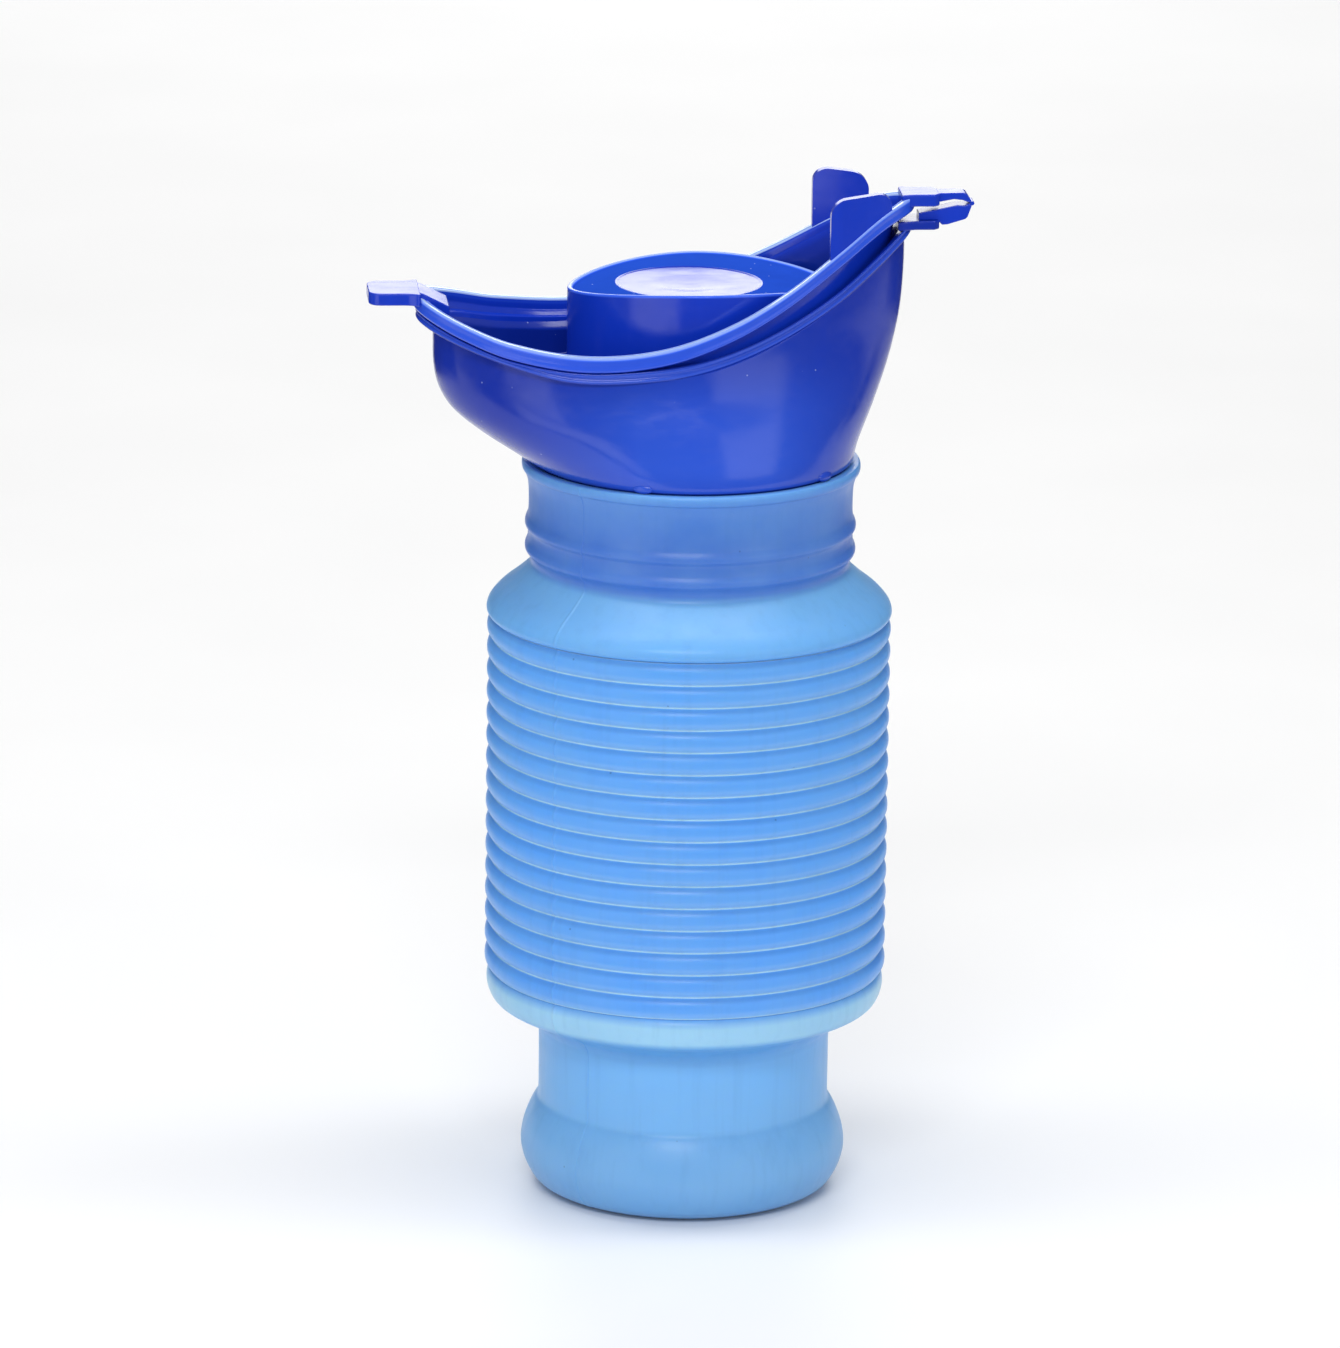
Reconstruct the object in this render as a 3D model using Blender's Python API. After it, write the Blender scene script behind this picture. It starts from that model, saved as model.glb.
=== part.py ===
"""Collapsible urine bottle: bellows bottle, plug-in boat-shaped funnel, strap-hinged lid.

Blender 4.5, metres, +Z up. The origin is the centre of the flat base, on the bottle's axis.
-X is the thumb-tab end of the lid, +X is the hinge end.
"""

import math

import bmesh
import bpy

MM = 0.001

# ---- driving dimensions, in millimetres ---------------------------------------------------
GAP = 0.3                 # clearance between pieces that touch
ROUND_STEPS = 36          # facets round the bottle
OVAL_STEPS = 64           # facets round the funnel, the lid and the drum

BOTTLE_WALL = 1.1
BASE_FLAT_R = 26.0
NECK_R = 31.2             # lower neck, above the foot
NECK_TOP_Z = 36.0
CREST_R = 42.95           # outside of the bellows
ROOT_R = 41.3             # bottom of a bellows groove
BELLOWS_LOW_Z = 48.5      # lowest groove
BELLOWS_HIGH_Z = 126.1    # highest groove
FOLDS = 16
BELLOWS_WALL = 0.9

COLLAR_R = 34.4           # outside of the straight collar
COLLAR_LOW_Z = 137.6
COLLAR_TOP_Z = 160.2
COLLAR_LIP_R = 35.9
SNAP_RIDGE_R = 35.1
SNAP_RIDGE_Z = (141.2, 146.5)

SKIRT_R = 32.8            # funnel spigot that plugs into the collar
SKIRT_WALL = 1.5
SKIRT_LOW_Z = 141.0
SNAP_BEAD = 0.2           # how far each snap bead stands out of the skirt
FUNNEL_WALL = 1.5

RIM_CENTRE_X = -6.4       # oval that the lid's rim and the funnel's flange follow
RIM_HALF_LENGTH = 52.9
RIM_HALF_WIDTH = 31.8
HINGE_END_TAPER = 0.414   # how much narrower than an oval the hinge end is
RIM_HEIGHT = 3.3          # depth of the lid's rim band
RIM_WIDTH = 2.6
FLANGE_INSET = 0.6        # the funnel's flange lies this far inside the lid's outline
FLANGE_HEIGHT = 2.3
PLUG_CLEARANCE = 0.5
PLUG_WALL = 1.2
PLUG_FLOOR_Z = 176.6
TAB_END_DRAFT = 0.40      # slopes of the plug's ends, so that it swings clear of the funnel
HINGE_END_DRAFT = 0.17
SIDE_DRAFT = 0.06

DRUM_CENTRE_X = 1.7
DRUM_HALF_LENGTH = 28.4
DRUM_HALF_WIDTH = 22.2
DRUM_POWER = 1.75         # under 2, so that the drum's ends are pointed
DRUM_TOP_Z = 200.3
DRUM_ARCH = 0.0031        # fall of the drum's top per square millimetre from its crown
DRUM_CROWN_X = 3.0
DRUM_WALL = 1.3
DISH_R = 15.8
DISH_Z = 198.2

HINGE_X = 58.5            # living hinge at the fold of the strap
HINGE_Z = 215.4
FINGER_HALF_WIDTH = 4.2
STRAP_HALF_WIDTH = 2.3
FINGER_END_X = 51.5
UPPER_FINGER_Z = (215.1, 217.7)
LOWER_FINGER_Z = (210.1, 212.0)
WEB_R = 0.45

TAB_END_X = -68.8
TAB_HALF_WIDTH = 6.5
TAB_Z = (195.0, 197.6)
TAB_ROOT = ((-58.0, 195.2), (-58.0, 197.5), (-51.8, 194.5), (-51.8, 192.6))    # (x, z) outline
TAB_ROOT_HALF_WIDTH = 5.3

NEAR_EAR_X = (27.0, 40.8)    # the two ears differ a little in length
FAR_EAR_X = (26.6, 37.8)
EAR_TOP_Z = 219.4
EAR_THICKNESS = 2.3       # measured across the bottle; the plates stand at a slant to that
EAR_CORNER = 3.4
EAR_ROOT_DEPTH = 2.4      # how deep the plates are rooted in the rim

# Heights along the length, as (x, z): the lid's top edge and the underside of the flange.
LID_EDGE = ((-60, 197.2), (-50, 193.4), (-40, 190.5), (-24, 188.8), (-8, 190.4), (6, 194.9),
            (18, 201.0), (30, 208.8), (39, 214.6), (46, 217.2), (52, 217.7))
FLANGE_EDGE = ((-60, 191.6), (-50, 188.4), (-40, 185.6), (-28, 183.2), (-14, 183.4),
               (0, 185.1), (14, 189.6), (28, 196.6), (38, 203.6), (46, 209.6))

# Funnel wall, as (z, distance out): towards the tab end, towards the hinge end, and sideways.
WALL_TAB_END = ((160.6, 34.3), (163.5, 38.8), (167.8, 45.6), (172.1, 51.0), (176.4, 53.7),
                (181.0, 54.8), (186.0, 55.0), (196.0, 55.0))
WALL_HINGE_END = ((160.6, 34.3), (164.5, 35.1), (173.3, 38.5), (182.0, 41.4), (192.0, 43.6),
                  (202.0, 44.4), (212.0, 44.4))
WALL_SIDE = ((160.6, 34.3), (164.0, 34.4), (172.0, 33.2), (182.0, 30.7), (196.0, 29.8),
             (212.0, 29.8))

LIGHT_BLUE = (0.18, 0.42, 0.85)
DARK_BLUE = (0.016, 0.045, 0.42)


# ---- helpers -------------------------------------------------------------------------------
def clear_scene():
    for obj in list(bpy.data.objects):
        bpy.data.objects.remove(obj, do_unlink=True)


def make_material(name, colour, roughness, transmission=0.0):
    material = bpy.data.materials.new(name)
    material.use_nodes = True
    shader = material.node_tree.nodes["Principled BSDF"]
    shader.inputs["Base Color"].default_value = (*colour, 1.0)
    shader.inputs["Roughness"].default_value = roughness
    shader.inputs["Metallic"].default_value = 0.0
    shader.inputs["Transmission Weight"].default_value = transmission
    return material


def curve_through(knots):
    """A smooth function through the knots: cubic, with each slope taken from its neighbours."""
    slopes = []
    for i in range(len(knots)):
        low = knots[max(i - 1, 0)]
        high = knots[min(i + 1, len(knots) - 1)]
        slopes.append((high[1] - low[1]) / (high[0] - low[0]))

    def value(x):
        if x <= knots[0][0]:
            return knots[0][1]
        if x >= knots[-1][0]:
            return knots[-1][1]
        i = max(k for k in range(len(knots) - 1) if knots[k][0] <= x)
        (x0, y0), (x1, y1) = knots[i], knots[i + 1]
        span = x1 - x0
        s = (x - x0) / span
        return (y0 * (1 + 2 * s) * (1 - s) ** 2 + y1 * s * s * (3 - 2 * s)
                + span * s * (1 - s) * (slopes[i] * (1 - s) - slopes[i + 1] * s))

    return value


lid_edge = curve_through(LID_EDGE)
flange_edge = curve_through(FLANGE_EDGE)
wall_tab_end = curve_through(WALL_TAB_END)
wall_hinge_end = curve_through(WALL_HINGE_END)
wall_side = curve_through(WALL_SIDE)


def finish(name, bm, material, origin=(0.0, 0.0, 0.0)):
    """Turns a bmesh in millimetres into a named object whose origin is at the given point."""
    bmesh.ops.remove_doubles(bm, verts=bm.verts, dist=1e-4)
    bmesh.ops.recalc_face_normals(bm, faces=bm.faces)
    for vert in bm.verts:
        vert.co = [(vert.co[i] - origin[i]) * MM for i in range(3)]
    mesh = bpy.data.meshes.new(name)
    bm.to_mesh(mesh)
    bm.free()
    mesh.shade_smooth()
    mesh.set_sharp_from_angle(angle=math.radians(35))
    obj = bpy.data.objects.new(name, mesh)
    obj.location = [value * MM for value in origin]
    bpy.context.collection.objects.link(obj)
    obj.data.materials.append(material)
    return obj


def turned(name, profile, material):
    """A solid of revolution about Z from a closed outline of (radius, z) points."""
    bm = bmesh.new()
    verts = [bm.verts.new((r, 0.0, z)) for r, z in profile]
    edges = [bm.edges.new((verts[i], verts[i + 1])) for i in range(len(verts) - 1)]
    if profile[0][0] > 0.0:
        edges.append(bm.edges.new((verts[-1], verts[0])))
    bmesh.ops.spin(bm, geom=verts + edges, axis=(0, 0, 1), cent=(0, 0, 0),
                   angle=math.tau, steps=ROUND_STEPS, use_duplicate=False)
    return finish(name, bm, material)


def swept(sections):
    """A bmesh whose closed outlines follow each other round the axis, one per angle."""
    bm = bmesh.new()
    rings = [[bm.verts.new(point) for point in section] for section in sections]
    count = len(rings[0])
    for i, ring in enumerate(rings):
        following = rings[(i + 1) % len(rings)]
        for k in range(count):
            n = (k + 1) % count
            bm.faces.new((ring[k], ring[n], following[n], following[k]))
    return bm


def extruded(outline, axis, low, high, bevel=0.0):
    """A prism: the outline lies in the plane across the axis, in the order of the other two axes."""
    bm = bmesh.new()
    ends = []
    for level in (low, high):
        points = []
        for a, b in outline:
            point = [a, b]
            point.insert("xyz".index(axis), level)
            points.append(bm.verts.new(point))
        ends.append(points)
    bm.faces.new(ends[0])
    bm.faces.new(ends[1])
    for i in range(len(outline)):
        n = (i + 1) % len(outline)
        bm.faces.new((ends[0][i], ends[0][n], ends[1][n], ends[1][i]))
    bmesh.ops.recalc_face_normals(bm, faces=bm.faces)
    if bevel:
        bmesh.ops.bevel(bm, geom=bm.edges[:], offset=bevel, segments=1, affect="EDGES")
    return bm


def unite(target, bm, name):
    """Adds a helper shape to the target with a Boolean union."""
    helper = finish(name, bm, target.data.materials[0])
    helper.hide_render = True
    helper.display_type = "WIRE"
    union = target.modifiers.new(name, "BOOLEAN")
    union.operation = "UNION"
    union.solver = "EXACT"
    union.object = helper


def angles():
    return [math.tau * i / OVAL_STEPS for i in range(OVAL_STEPS)]


def smooth_step(value, low, high):
    s = min(max((value - low) / (high - low), 0.0), 1.0)
    return s * s * (3 - 2 * s)


def hinge_end_width(angle, taper):
    """Width factor that narrows an oval towards the hinge end."""
    return 1 - taper * (0.5 + 0.5 * math.cos(angle)) ** 3


def inner_side(outline, wall):
    """The outline again, one wall thickness nearer the axis, in reverse order."""
    return [(max(r - wall, 0.0), z) for r, z in reversed(outline)]


# ---- bottle --------------------------------------------------------------------------------
def fold_outline(radius_crest, radius_root):
    """Bellows profile from the lowest to the highest groove, as (radius, z)."""
    pitch = (BELLOWS_HIGH_Z - BELLOWS_LOW_Z) / FOLDS
    points = [(radius_root, BELLOWS_LOW_Z + GAP / 2)]
    for fold in range(FOLDS):
        low = BELLOWS_LOW_Z + fold * pitch
        points.append((radius_crest, low + 0.5 * pitch))
        if fold < FOLDS - 1:
            points.append((radius_root, low + pitch))
    points.append((radius_root, BELLOWS_HIGH_Z - GAP / 2))
    return points


def build_bottle(material):
    foot = [(BASE_FLAT_R, 0.0), (30.2, 0.9), (33.2, 3.4), (34.6, 6.6), (34.8, 9.4),
            (34.3, 13.0), (33.2, 16.0), (31.8, 18.4), (NECK_R, 20.4), (NECK_R, NECK_TOP_Z),
            (32.6, 37.9), (35.6, 39.8), (38.6, 41.1), (40.8, 42.4), (41.9, 43.9),
            (42.4, 45.6), (ROOT_R, BELLOWS_LOW_Z - GAP / 2)]
    inside = inner_side(foot[1:], BOTTLE_WALL)
    floor = [(BASE_FLAT_R - 0.6, BOTTLE_WALL + 0.1), (0.0, BOTTLE_WALL + 0.1)]
    turned("bottle_foot", [(0.0, 0.0)] + foot + inside[:-1] + floor, material)

    outside = fold_outline(CREST_R, ROOT_R)
    inside = fold_outline(CREST_R - BELLOWS_WALL, ROOT_R - BELLOWS_WALL)
    turned("bellows", outside + inside[::-1], material)

    ridge_low, ridge_high = SNAP_RIDGE_Z
    collar = [(ROOT_R, BELLOWS_HIGH_Z + GAP / 2), (43.1, 128.0), (42.4, 129.6),
              (40.6, 131.5), (35.4, 136.2), (33.9, COLLAR_LOW_Z), (33.9, 139.2),
              (SNAP_RIDGE_R, ridge_low), (34.5, 143.8), (SNAP_RIDGE_R, ridge_high),
              (COLLAR_R, 148.6), (COLLAR_R, 156.6), (COLLAR_LIP_R, 158.6),
              (COLLAR_LIP_R, COLLAR_TOP_Z)]
    bore = SKIRT_R + SNAP_BEAD + GAP
    inside = [(bore, COLLAR_TOP_Z), (bore, 139.0), (32.6, COLLAR_LOW_Z - 0.6), (34.2, 135.6),
              (39.5, 130.7), (41.3, 129.0), (41.9, 127.8), (ROOT_R - 1.0, BELLOWS_HIGH_Z + GAP / 2)]
    turned("bottle_collar", collar + inside, material)


# ---- funnel --------------------------------------------------------------------------------
def rim_point(angle, inset=0.0):
    """A point of the rim oval, moved in by the inset."""
    return (RIM_CENTRE_X + (RIM_HALF_LENGTH - inset) * math.cos(angle),
            (RIM_HALF_WIDTH * hinge_end_width(angle, HINGE_END_TAPER) - inset) * math.sin(angle))


def wall_point(angle, z, inset=0.0):
    """A point of the funnel's outer wall at this height, moved in by the inset."""
    reach = wall_hinge_end(z) if math.cos(angle) > 0 else wall_tab_end(z)
    width = hinge_end_width(angle, HINGE_END_TAPER * smooth_step(z, 160.0, 192.0))
    return ((reach - inset) * math.cos(angle), (wall_side(z) * width - inset) * math.sin(angle), z)


def wall_top(angle, height, inset=0.0):
    """The point where the funnel's wall meets a surface whose height depends on x."""
    z = height(rim_point(angle)[0])
    for _ in range(6):
        z = height(wall_point(angle, z, inset)[0])
    return wall_point(angle, z, inset)


def rim_under(x):
    """Underside of the lid's rim."""
    return lid_edge(x) - RIM_HEIGHT


def flange_top(x):
    return min(flange_edge(x) + FLANGE_HEIGHT, rim_under(x) - GAP)


def funnel_section(angle):
    """One closed outline of the funnel: up the outside, over the flange and down the inside."""
    skirt = [(SKIRT_R, SKIRT_LOW_Z), (SKIRT_R + SNAP_BEAD, SKIRT_LOW_Z + 1.2),
             (SKIRT_R, SKIRT_LOW_Z + 2.4), (SKIRT_R, COLLAR_TOP_Z + GAP),
             (34.3, COLLAR_TOP_Z + GAP)]
    points = [(r * math.cos(angle), r * math.sin(angle), z) for r, z in skirt]
    base_z = COLLAR_TOP_Z + GAP + 0.6
    under = wall_top(angle, flange_edge)
    over = wall_top(angle, flange_top, FUNNEL_WALL)
    rows = 7
    for i in range(rows):
        points.append(wall_point(angle, base_z + (under[2] - base_z) * i / rows))
    points.append(under)
    for inset, height in ((FLANGE_INSET, flange_edge), (FLANGE_INSET, flange_top)):
        x, y = rim_point(angle, inset)
        points.append((x, y, height(x)))
    points.append(over)
    for i in range(1, rows + 1):
        points.append(wall_point(angle, over[2] + (base_z - over[2]) * i / rows, FUNNEL_WALL))
    bore = SKIRT_R - SKIRT_WALL
    for z in (COLLAR_TOP_Z - 1.5, SKIRT_LOW_Z):
        points.append((bore * math.cos(angle), bore * math.sin(angle), z))
    return points


def build_funnel(material):
    funnel = finish("funnel", swept([funnel_section(a) for a in angles()]), material)
    low, high = LOWER_FINGER_Z
    outline = [(43.4, low - 1.6), (46.2, low), (FINGER_END_X, low), (FINGER_END_X, high),
               (43.4, high)]
    finger = extruded(outline, "y", -FINGER_HALF_WIDTH, FINGER_HALF_WIDTH)
    unite(funnel, finger, "funnel_finger")


# ---- strap ---------------------------------------------------------------------------------
def build_strap(material):
    """Two stiff links that meet at a thin fold; each is finished with its origin on the fold."""
    axis = (HINGE_X, 0.0, HINGE_Z)
    upper = [(FINGER_END_X + GAP, 215.5), (55.6, 216.0), (HINGE_X - 0.8, HINGE_Z + 0.35),
             (56.7, 217.75), (FINGER_END_X + GAP, 217.6)]
    seat_z = LOWER_FINGER_Z[1] + GAP
    lower = [(47.0, seat_z), (FINGER_END_X + GAP, seat_z), (FINGER_END_X + GAP, 210.7),
             (57.3, 212.2), (HINGE_X - 0.5, HINGE_Z - 0.7), (55.3, 215.1), (50.4, 214.1),
             (47.0, 213.5)]
    for name, outline in (("strap_upper_link", upper), ("strap_lower_link", lower)):
        bm = extruded(outline, "y", -STRAP_HALF_WIDTH, STRAP_HALF_WIDTH)
        finish(name, bm, material, axis)
    fold = [(HINGE_X + WEB_R * math.cos(math.tau * i / 10),
             HINGE_Z + WEB_R * math.sin(math.tau * i / 10)) for i in range(10)]
    finish("strap_fold", extruded(fold, "y", -STRAP_HALF_WIDTH, STRAP_HALF_WIDTH), material, axis)


# ---- lid -----------------------------------------------------------------------------------
def plug_point(angle, depth, inset=0.0):
    """A point of the plug's side, this far below the underside of the rim."""
    x, y, z = wall_top(angle, rim_under, FUNNEL_WALL + PLUG_CLEARANCE)
    if z - depth < PLUG_FLOOR_Z:
        depth = z - PLUG_FLOOR_Z
    c, s = abs(math.cos(angle)), abs(math.sin(angle))
    draft = HINGE_END_DRAFT if x > 0 else TAB_END_DRAFT
    in_x = (draft * depth * c + inset) * c
    in_y = (SIDE_DRAFT * depth + inset) * s
    return (x - math.copysign(in_x, x), y - math.copysign(in_y, y), z - depth)


def plug_floor_point(angle, z, inset=0.0):
    """A point of the plug's side at the level of its floor."""
    depth = wall_top(angle, rim_under, FUNNEL_WALL + PLUG_CLEARANCE)[2] - z
    return plug_point(angle, depth, inset)


def lid_section(angle):
    """One closed outline of the tray: rim band, plug wall and the floor round the drum."""
    hole = drum_point(angle, DRUM_WALL + GAP)
    floor_top = PLUG_FLOOR_Z + PLUG_WALL
    points = []
    for inset, drop in ((0.3, RIM_HEIGHT), (0.0, RIM_HEIGHT - 0.3), (0.0, 0.4), (0.4, 0.0),
                        (RIM_WIDTH, 0.0)):
        x, y = rim_point(angle, inset)
        points.append((x, y, lid_edge(x) - drop))
    points.append(plug_point(angle, 0.0, PLUG_WALL))
    points.append(plug_floor_point(angle, floor_top, PLUG_WALL))
    points.append((*hole, floor_top))
    points.append((*hole, PLUG_FLOOR_Z))
    points.append(plug_floor_point(angle, PLUG_FLOOR_Z))
    points.append(plug_point(angle, 0.0))
    return points


def ear(side):
    """An upright plate with rounded upper corners that stands on the rim and follows its curve."""
    low_x, high_x = NEAR_EAR_X if side < 0 else FAR_EAR_X
    columns = 10
    bm = bmesh.new()
    rings = []
    for i in range(columns + 1):
        x = low_x + (high_x - low_x) * (0.5 - 0.5 * math.cos(math.pi * i / columns))
        into_corner = max(EAR_CORNER - (x - low_x), EAR_CORNER - (high_x - x), 0.0)
        top = EAR_TOP_Z - EAR_CORNER + math.sqrt(EAR_CORNER ** 2 - into_corner ** 2)
        outer = rim_point(math.acos((x - RIM_CENTRE_X) / RIM_HALF_LENGTH))[1] - 0.3
        inner = outer - EAR_THICKNESS
        foot = lid_edge(x) - EAR_ROOT_DEPTH
        rings.append([bm.verts.new((x, side * y, z))
                      for y, z in ((outer, foot), (outer, top), (inner, top), (inner, foot))])
    bm.faces.new(rings[0])
    bm.faces.new(rings[-1])
    for ring, following in zip(rings, rings[1:]):
        for k in range(4):
            n = (k + 1) % 4
            bm.faces.new((ring[k], ring[n], following[n], following[k]))
    return bm


def build_lid(material):
    axis = (HINGE_X, 0.0, HINGE_Z)
    tray = finish("lid_tray", swept([lid_section(a) for a in angles()]), material, axis)
    low, high = TAB_Z
    w = TAB_HALF_WIDTH
    root_x = -60.2
    tab = [(TAB_END_X, 2.0 - w), (TAB_END_X, w - 2.0), (TAB_END_X + 2.0, w), (root_x, w),
           (root_x + 2.6, w + 2.0), (root_x + 2.6, -w - 2.0), (root_x, -w), (TAB_END_X + 2.0, -w)]
    unite(tray, extruded(tab, "z", low, high), "thumb_tab")
    root = extruded(TAB_ROOT, "y", -TAB_ROOT_HALF_WIDTH, TAB_ROOT_HALF_WIDTH)
    unite(tray, root, "thumb_tab_root")
    low, high = UPPER_FINGER_Z
    finger = [(43.6, low), (FINGER_END_X, low), (FINGER_END_X, high), (44.6, high)]
    unite(tray, extruded(finger, "y", -FINGER_HALF_WIDTH, FINGER_HALF_WIDTH), "lid_finger")
    for side, name in ((-1, "ear_near"), (1, "ear_far")):
        unite(tray, ear(side), name)


def drum_point(angle, inset=0.0):
    """A point of the drum's lens-shaped plan, moved in by the inset."""
    c, s = math.cos(angle), math.sin(angle)
    power = 2.0 / DRUM_POWER
    return (DRUM_CENTRE_X + (DRUM_HALF_LENGTH - inset) * math.copysign(abs(c) ** power, c),
            (DRUM_HALF_WIDTH - inset) * math.copysign(abs(s) ** power, s))


def drum_top(x):
    return DRUM_TOP_Z - DRUM_ARCH * (x - DRUM_CROWN_X) ** 2


def build_drum(material):
    """Raised centre of the lid: a hollow drum, open below, with a round dish in its top."""
    axis = (HINGE_X, 0.0, HINGE_Z)
    bm = bmesh.new()
    rows = []
    for angle in angles():
        x, y = drum_point(angle)
        lip_x, lip_y = drum_point(angle, 1.2)
        in_x, in_y = drum_point(angle, DRUM_WALL)
        dish = (DISH_R * math.cos(angle), DISH_R * math.sin(angle))
        rows.append([
            (*dish, DISH_Z),
            (lip_x, lip_y, drum_top(x) - 0.3),
            (lip_x, lip_y, drum_top(x)),
            (x, y, drum_top(x) - 0.2),
            (x, y, PLUG_FLOOR_Z + PLUG_WALL + GAP),
            (in_x, in_y, PLUG_FLOOR_Z + PLUG_WALL + GAP),
            (in_x, in_y, DISH_Z - 2.6),
            (*dish, DISH_Z - 2.6),
        ])
    rings = [[bm.verts.new(point) for point in row] for row in rows]
    centre_top = bm.verts.new((0.0, 0.0, DISH_Z - 0.3))
    centre_under = bm.verts.new((0.0, 0.0, DISH_Z - 2.6))
    for i, ring in enumerate(rings):
        following = rings[(i + 1) % len(rings)]
        for k in range(len(ring) - 1):
            bm.faces.new((ring[k], ring[k + 1], following[k + 1], following[k]))
        bm.faces.new((centre_top, ring[0], following[0]))
        bm.faces.new((centre_under, following[-1], ring[-1]))
    finish("lid_drum", bm, material, axis)


def main():
    clear_scene()
    soft_blue = make_material("translucent_light_blue", LIGHT_BLUE, 0.35, 0.3)
    gloss_blue = make_material("gloss_dark_blue", DARK_BLUE, 0.2)
    build_bottle(soft_blue)
    build_funnel(gloss_blue)
    build_strap(gloss_blue)
    build_lid(gloss_blue)
    build_drum(gloss_blue)


main()
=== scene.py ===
"""Looks of the collapsible urine bottle: smooth meshes, plastic materials, studio and camera.

The frame is in metres, +Z up. Dimensions below are in millimetres unless they say otherwise.
"""

import math
import bmesh  # noqa: E402
import bpy  # noqa: E402
from mathutils import Matrix, Vector  # noqa: E402


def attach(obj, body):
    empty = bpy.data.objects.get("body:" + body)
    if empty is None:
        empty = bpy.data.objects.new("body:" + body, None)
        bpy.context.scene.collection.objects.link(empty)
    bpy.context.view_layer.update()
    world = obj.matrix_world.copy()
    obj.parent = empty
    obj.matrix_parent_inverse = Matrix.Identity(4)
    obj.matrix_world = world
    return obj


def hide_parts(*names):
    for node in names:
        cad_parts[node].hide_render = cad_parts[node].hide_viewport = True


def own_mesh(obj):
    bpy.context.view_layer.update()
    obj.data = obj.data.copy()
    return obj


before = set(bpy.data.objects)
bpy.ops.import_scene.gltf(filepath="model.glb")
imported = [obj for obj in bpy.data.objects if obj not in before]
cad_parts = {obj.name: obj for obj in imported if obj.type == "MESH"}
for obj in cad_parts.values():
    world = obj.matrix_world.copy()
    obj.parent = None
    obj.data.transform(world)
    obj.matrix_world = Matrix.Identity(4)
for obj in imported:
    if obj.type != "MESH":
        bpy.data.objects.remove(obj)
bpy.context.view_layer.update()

MM = 0.001

# ---- camera ----------------------------------------------------------------------------------
CAMERA_DISTANCE = 2000.0      # horizontal, from the bottle's axis
CAMERA_YAW = 5.0              # degrees towards -X
CAMERA_HEIGHT = 645.4
CAMERA_ROLL = 0.75            # degrees
AIM_Z = 112.8                 # height of the aim point on the axis
AIM_LEFT = 3.9                # sideways offset of the camera and its aim
LENS = 261.0
SENSOR = 36.0

# ---- bottle ----------------------------------------------------------------------------------
ROUND_STEPS = 160
SEAM_ANGLE = math.radians(44.3)     # mould parting line, and its opposite
SEAM_HEIGHT = 0.13
SEAM_HALF_ANGLE = math.radians(0.35)
BOTTLE_WALL = 1.0
BELLOWS_WALL = 0.9
INSIDE_LOW_Z = 2.6            # where the inside of the foot's wall turns into its floor
BELLOWS_LOW_Z = 48.5
BELLOWS_HIGH_Z = 126.1
FOLDS = 16
CREST_R = 42.95
ROOT_R = 41.75
FOLD_POINTS = 14             # points up one fold
FOLD_FULLNESS = 2.2          # 2 is a parabola, and more is squarer
HEIGHT_SPAN = 220.0          # the colours up the object are given over this height
COLLAR_TOP_Z = 160.2

# ---- funnel and lid --------------------------------------------------------------------------
OVAL_STEPS = 256
GAP = 0.3
SKIRT_R = 32.8
SKIRT_BORE_R = 31.3
SKIRT_LOW_Z = 141.0
SEAT_R = 34.0                # foot of the funnel's wall, on the collar
FUNNEL_WALL = 1.5
RIM_CENTRE_X = -6.4
RIM_HALF_LENGTH = 52.9
RIM_HALF_WIDTH = 31.8
HINGE_END_TAPER = 0.414
RIM_HEIGHT = 3.3
RIM_WIDTH = 2.6
FLANGE_INSET = 0.6
FLANGE_HEIGHT = 2.3
RIM_CORNERS = (
    (0.35, RIM_HEIGHT, 0.25, 0.0),
    (0.0, RIM_HEIGHT - 0.45, 0.3, 0.20),
    (0.14, 1.9, 0.5, 0.20),
    (0.0, 0.9, 0.0, 0.20),
    (0.0, 0.0, 0.5, 0.60),
    (0.55, 0.0, 0.0, 0.90),
    (0.8, 0.0, 0.0, 1.0),
    (1.40, 0.0, 0.0, 1.0),
    (1.55, 0.12, 0.0, 0.1),
    (1.75, 0.12, 0.0, 0.1),
    (1.90, 0.0, 0.0, 0.8),
    (RIM_WIDTH - 0.3, 0.05, 0.3, 0.8),
    (RIM_WIDTH - 0.3, 0.7, 0.2, 0.1),
    (RIM_WIDTH - 0.1, 2.3, 0.3, -0.2),
    (RIM_WIDTH + 0.4, 2.6, 0.3, -0.3),
)    # (inset, depth, corner radius, tone), from the rim's underside up, over and down inside; a tone above 0 is a painted highlight, the white line along the rim's top, and below 0 painted shade inside
PLUG_CLEARANCE = 0.5
PLUG_WALL = 1.2
PLUG_FLOOR_Z = 176.6
PLUG_STEP = 2.4              # height of the step inside the rim
WALL_ROWS = 26               # rows of faces up the funnel's wall
PLUG_ROWS = 12               # rows of faces up the plug's wall
TAB_END_DRAFT = 0.40
HINGE_END_DRAFT = 0.17
SIDE_DRAFT = 0.06

DRUM_CENTRE_X = 1.7
DRUM_HALF_LENGTH = 28.4
DRUM_HALF_WIDTH = 22.2
DRUM_POWER = 1.75
DRUM_TOP_Z = 200.3
DRUM_ARCH = 0.0031
DRUM_CROWN_X = 3.0
DRUM_WALL = 1.3
DISH_CENTRE_X = -1.0
DISH_R = 15.4
DISH_Z = 198.2
DISH_DROPS = ((0.8, 0.08), (0.64, 0.11), (0.56, 0.14), (0.50, 0.20), (0.42, 0.30),
              (0.32, 0.40), (0.16, 0.48), (0.0, 0.50))    # (fraction of its radius, depth)
DRUM_UNDER = 2.6             # from the dish down to the underside of the drum's top
SLOPE_ROWS = 6

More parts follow.
